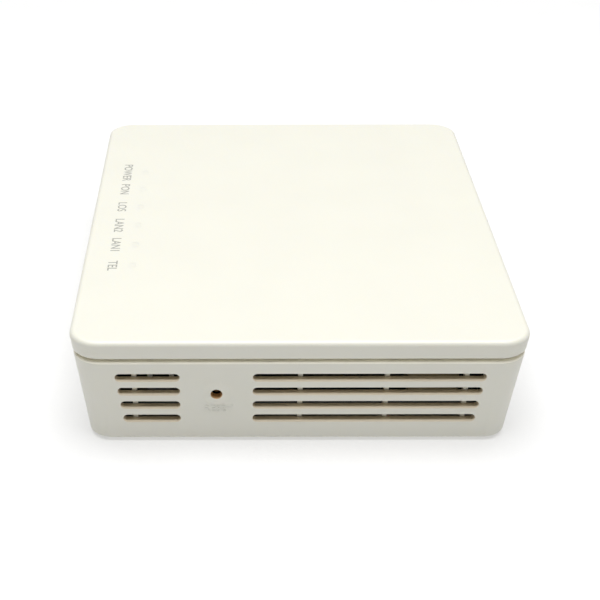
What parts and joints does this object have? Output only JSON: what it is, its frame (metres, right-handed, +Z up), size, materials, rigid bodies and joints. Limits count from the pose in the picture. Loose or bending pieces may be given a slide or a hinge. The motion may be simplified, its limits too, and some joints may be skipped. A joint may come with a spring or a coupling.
{
  "type": "optical network terminal",
  "caption": "Flat white desktop fibre terminal: tapering vented tub under a flush lid, lamps along one edge, network, telephone, fibre and power sockets on one side.",
  "frame": {"origin": "under the middle of the box, in the plane of its rubber feet", "axes": "+Z up through the lid; +X out of the wall with the sockets; -Y out of the wall with the reset hole; lamps along the -X edge"},
  "size_m": [0.1076, 0.1356, 0.0295],
  "materials": {
    "white_plastic": "satin moulded, warm white",
    "grey_rubber": "matte moulded rubber",
    "steel": "bright zinc plated",
    "capacitor_sleeve": "shrink sleeve",
    "lamp_resin": "clear resin",
    "clear_plastic": "milky light guide",
    "gold": "gold flash plated",
    "black_plastic": "glass-filled nylon, fine texture",
    "grey_plastic": "satin moulded",
    "tan_plastic": "tan tape and nylon",
    "blue_plastic": "moulded adapter blue",
    "board_laminate": "solder mask over glass laminate",
    "aluminium": "extruded and anodised clear",
    "thermal_pad": "soft silicone",
    "tinned_steel": "tin plated sheet",
    "ferrite": "sintered ferrite",
    "chip_resin": "moulding compound"
  },
  "bodies": {
    "case": {"board_screw_1": "steel", "board_screw_2": "steel", "board_screw_3": "steel", "board_screw_4": "steel", "bottom_housing": "white_plastic", "capacitor_1": "capacitor_sleeve", "capacitor_2": "capacitor_sleeve", "capacitor_3": "capacitor_sleeve", "case_screw_1": "steel", "case_screw_2": "steel", "case_screw_3": "steel", "case_screw_4": "steel", "crystal": "tinned_steel", "dc_jack": "black_plastic", "dc_jack_pin": "steel", "debug_header": "white_plastic", "flash_chip": "chip_resin", "heatsink": "aluminium", "lan_contacts_1": "gold", "lan_contacts_2": "gold", "lan_jack_1": "black_plastic", "lan_jack_2": "black_plastic", "lan_transformer_1": "chip_resin", "lan_transformer_2": "chip_resin", "led_lan1": "lamp_resin", "led_lan2": "lamp_resin", "led_los": "lamp_resin", "led_pon": "lamp_resin", "led_power": "lamp_resin", "led_tel": "lamp_resin", "light_guide": "clear_plastic", "line_chip": "chip_resin", "main_board": "board_laminate", "memory_chip": "chip_resin", "optical_receptacle": "blue_plastic", "optical_subassembly": "steel", "photodiode_can": "gold", "power_inductor": "ferrite", "power_switch": "black_plastic", "power_transformer": "tan_plastic", "reset_switch": "black_plastic", "rubber_foot_1": "grey_rubber", "rubber_foot_2": "grey_rubber", "rubber_foot_3": "grey_rubber", "rubber_foot_4": "grey_rubber", "shield_can": "tinned_steel", "soc_chip": "chip_resin", "tel_contacts": "gold", "tel_jack": "black_plastic", "thermal_pad": "thermal_pad", "top_cover": "white_plastic"},
    "power_button": {"power_button": "grey_plastic"},
    "reset_plunger": {"reset_plunger": "tan_plastic"},
    "dust_plug": {"optical_dust_plug": "grey_rubber"}
  },
  "joints": [
    {"name": "power_press", "type": "slide", "parent": "case", "child": "power_button", "axis": [-1, 0, 0], "range_m": [0, 0.0015], "stiffness_N_per_m": 400},
    {"name": "reset_press", "type": "slide", "parent": "case", "child": "reset_plunger", "axis": [0, 1, 0], "range_m": [0, 0.0003], "stiffness_N_per_m": 1000},
    {"name": "dust_plug_pull", "type": "slide", "parent": "case", "child": "dust_plug", "axis": [1, 0, 0], "range_m": [0, 0.014]}
  ]
}
